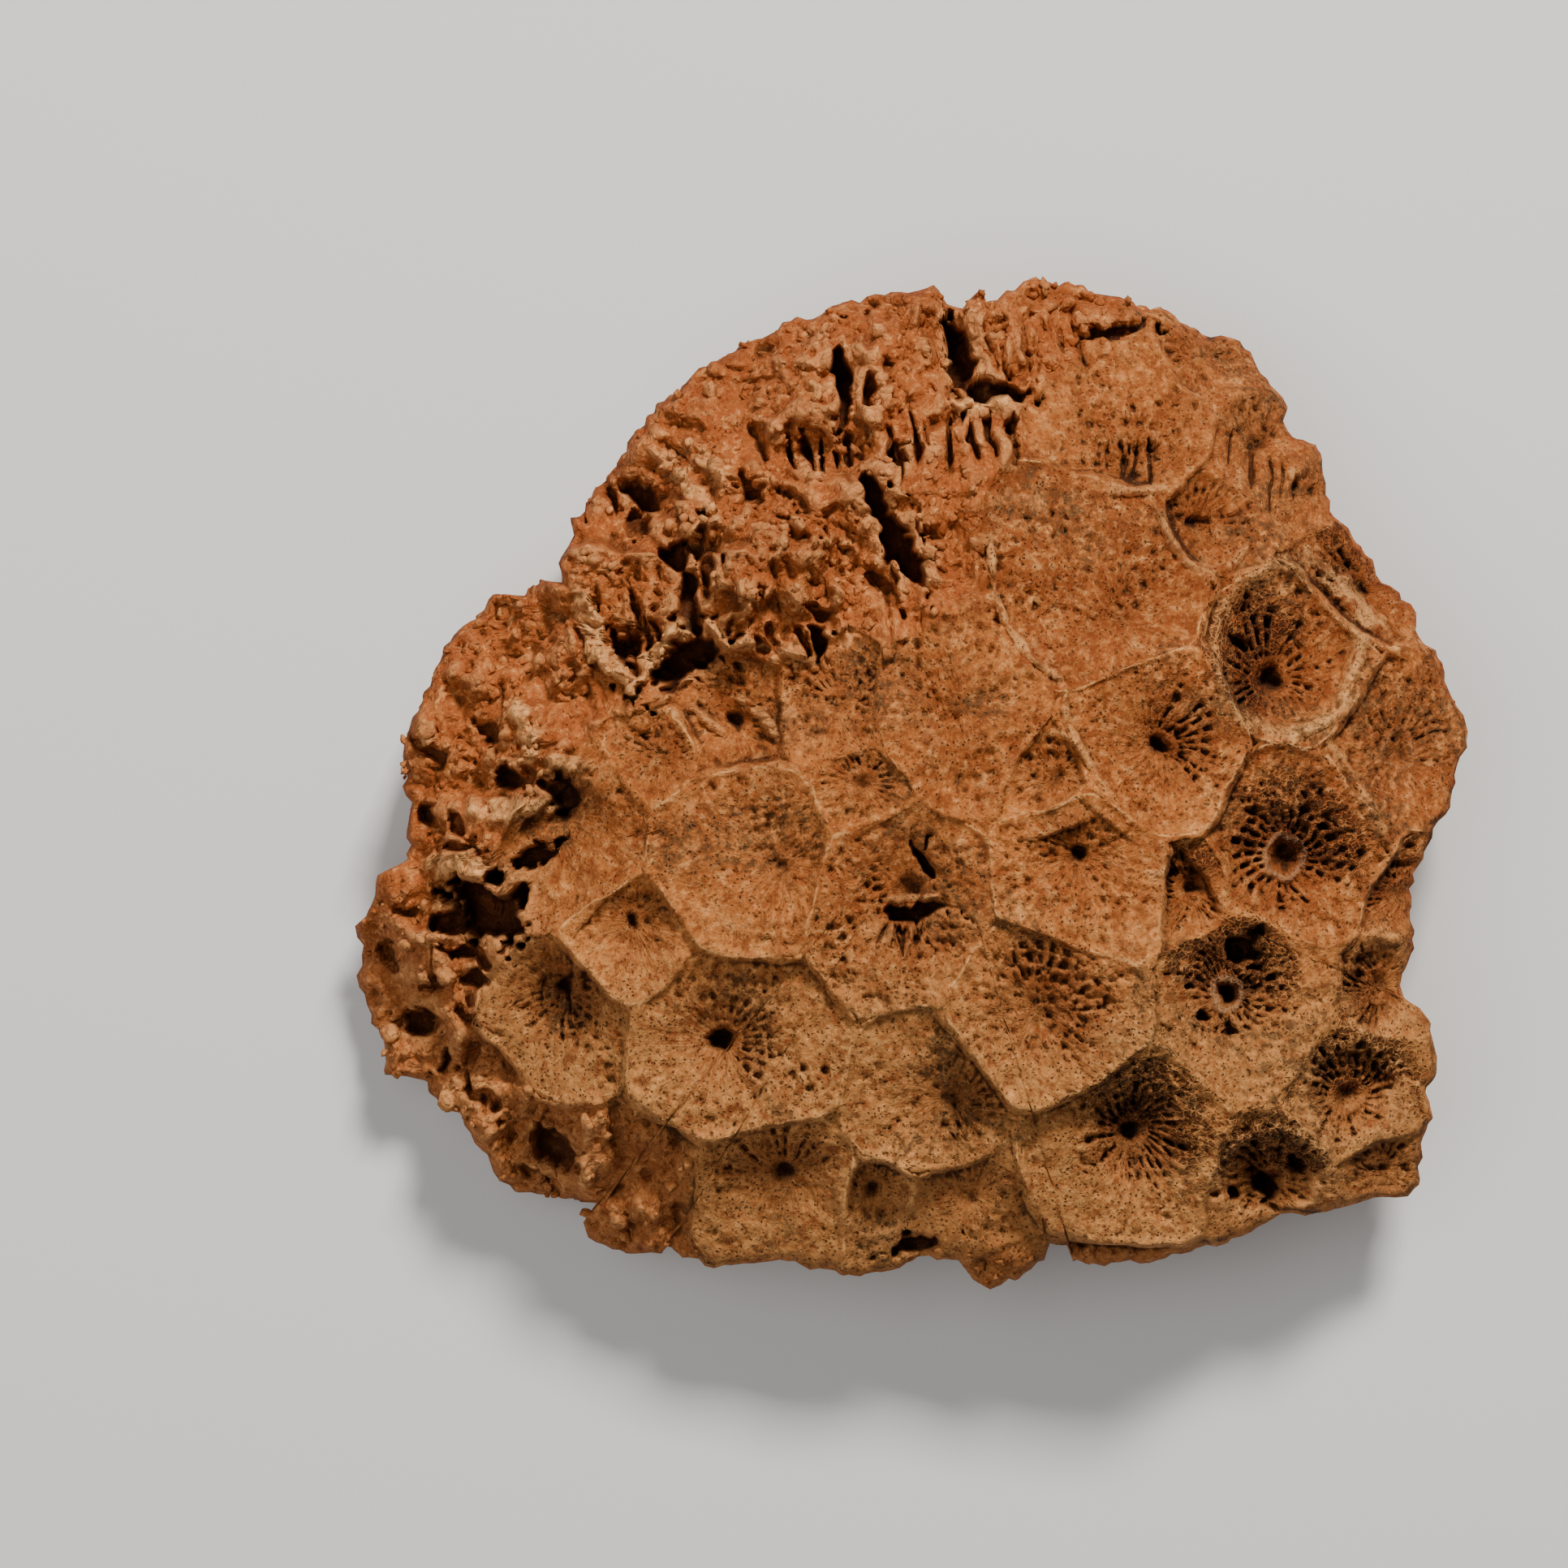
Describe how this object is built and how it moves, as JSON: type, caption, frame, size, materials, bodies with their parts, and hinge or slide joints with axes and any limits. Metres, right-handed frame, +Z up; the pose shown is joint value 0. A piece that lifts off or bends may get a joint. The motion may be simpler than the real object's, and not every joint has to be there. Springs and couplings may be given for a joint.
{
  "type": "fossil coral specimen",
  "caption": "Weathered chunk of fossil rugose coral colony: many-sided cups with pits packed wall to wall over a low crown, broken sides, flat cut underside.",
  "frame": {"origin": "on the floor under the middle of the bounding box, in the plane of the flat cut underside", "axes": "+Z up from the flat underside, +X to the right and +Y away as seen from above with the eroded lumps at the far left"},
  "size_m": [0.0801, 0.0729, 0.029],
  "materials": {
    "fossil_stone": "rough, matt, granular, orange-brown"
  },
  "bodies": {
    "root": {"coral_colony": "fossil_stone"}
  },
  "joints": []
}
